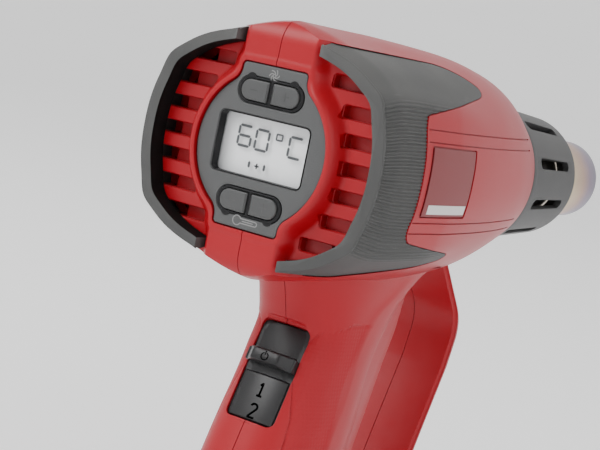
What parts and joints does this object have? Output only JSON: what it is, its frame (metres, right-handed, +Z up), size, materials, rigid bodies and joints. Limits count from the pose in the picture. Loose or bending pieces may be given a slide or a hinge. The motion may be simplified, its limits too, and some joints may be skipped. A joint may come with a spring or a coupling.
{
  "type": "heat gun",
  "caption": "Pistol heat gun with rear display panel, temperature and fan keys, three-position thumb slide switch, closed hand guard, vented rear and steel nozzle.",
  "frame": {"origin": "centre of the nozzle's mouth, on the barrel axis", "axes": "+Y forward out of the nozzle along the barrel axis, +Z up away from the handle, +X to the gun's right"},
  "size_m": [0.096, 0.252, 0.209],
  "materials": {
    "shell_red": "satin moulded ABS",
    "bumper_rubber": "matt overmoulded rubber",
    "plate_red": "blank label, satin",
    "panel_grey": "fine matt texture",
    "black_trim": "satin black",
    "clear_window": "clear polycarbonate",
    "lcd_glass": "display face",
    "silicone_pale": "matt",
    "pcb_green": "solder mask",
    "sleeve_black": "heat-resistant, matt",
    "nozzle_steel": "brushed stainless steel, heat-tinted",
    "mica": "mica paper",
    "ceramic": "fired ceramic",
    "coil_wire": "oxidised resistance wire",
    "bright_metal": "plated steel",
    "duct_plastic": "glass-filled nylon",
    "magnet": "ferrite",
    "copper_iron": "wound armature",
    "bright_aluminium": "extruded",
    "capacitor_yellow": "film capacitor case",
    "gland_rubber": "matt",
    "screw_steel": "zinc plated"
  },
  "bodies": {
    "gun": {"left_housing": "shell_red", "right_housing": "shell_red", "left_bumper": "bumper_rubber", "right_bumper": "bumper_rubber", "rating_plate": "plate_red", "control_panel": "panel_grey", "lcd_bezel": "black_trim", "lcd_window": "clear_window", "lcd_module": "lcd_glass", "lcd_connectors": "silicone_pale", "display_pcb": "pcb_green", "fan_key_surround": "black_trim", "temp_key_surround": "black_trim", "tact_switches": "black_trim", "switch_plate": "black_trim", "slide_switch": "black_trim", "heat_sleeve": "sleeve_black", "nozzle_tube": "nozzle_steel", "mica_tube": "mica", "heater_core": "ceramic", "heating_coil": "coil_wire", "thermal_fuse": "bright_metal", "temperature_sensor": "bright_metal", "air_duct": "duct_plastic", "motor_mount": "duct_plastic", "motor_can": "bright_metal", "motor_end_cap": "black_trim", "motor_magnets": "magnet", "power_pcb": "pcb_green", "triac_heatsink": "bright_aluminium", "filter_capacitor": "capacitor_yellow", "cord_gland": "gland_rubber", "cord_clamp": "duct_plastic", "clamp_screws": "screw_steel", "housing_screws": "screw_steel"},
    "fan_minus_key": {"fan_minus_key": "panel_grey"},
    "fan_plus_key": {"fan_plus_key": "panel_grey"},
    "temp_minus_key": {"temp_minus_key": "panel_grey"},
    "temp_plus_key": {"temp_plus_key": "panel_grey"},
    "switch_slider": {"switch_slider": "black_trim"},
    "fan_rotor": {"motor_rotor": "copper_iron", "motor_shaft": "bright_metal", "fan_impeller": "duct_plastic"}
  },
  "joints": [
    {"name": "fan_minus_press", "type": "slide", "parent": "gun", "child": "fan_minus_key", "axis": [0, 1, 0], "range_m": [0, 0.0008], "stiffness_N_per_m": 400},
    {"name": "fan_plus_press", "type": "slide", "parent": "gun", "child": "fan_plus_key", "axis": [0, 1, 0], "range_m": [0, 0.0008], "stiffness_N_per_m": 400},
    {"name": "temp_minus_press", "type": "slide", "parent": "gun", "child": "temp_minus_key", "axis": [0, 1, 0], "range_m": [0, 0.0008], "stiffness_N_per_m": 400},
    {"name": "temp_plus_press", "type": "slide", "parent": "gun", "child": "temp_plus_key", "axis": [0, 1, 0], "range_m": [0, 0.0008], "stiffness_N_per_m": 400},
    {"name": "switch_slide", "type": "slide", "parent": "gun", "child": "switch_slider", "axis": [0, -0.3665, -0.9304], "range_m": [0, 0.016]},
    {"name": "fan_spin", "type": "hinge", "parent": "gun", "child": "fan_rotor", "pos_m": [0, -0.179, 0], "axis": [0, 1, 0], "continuous": true}
  ]
}
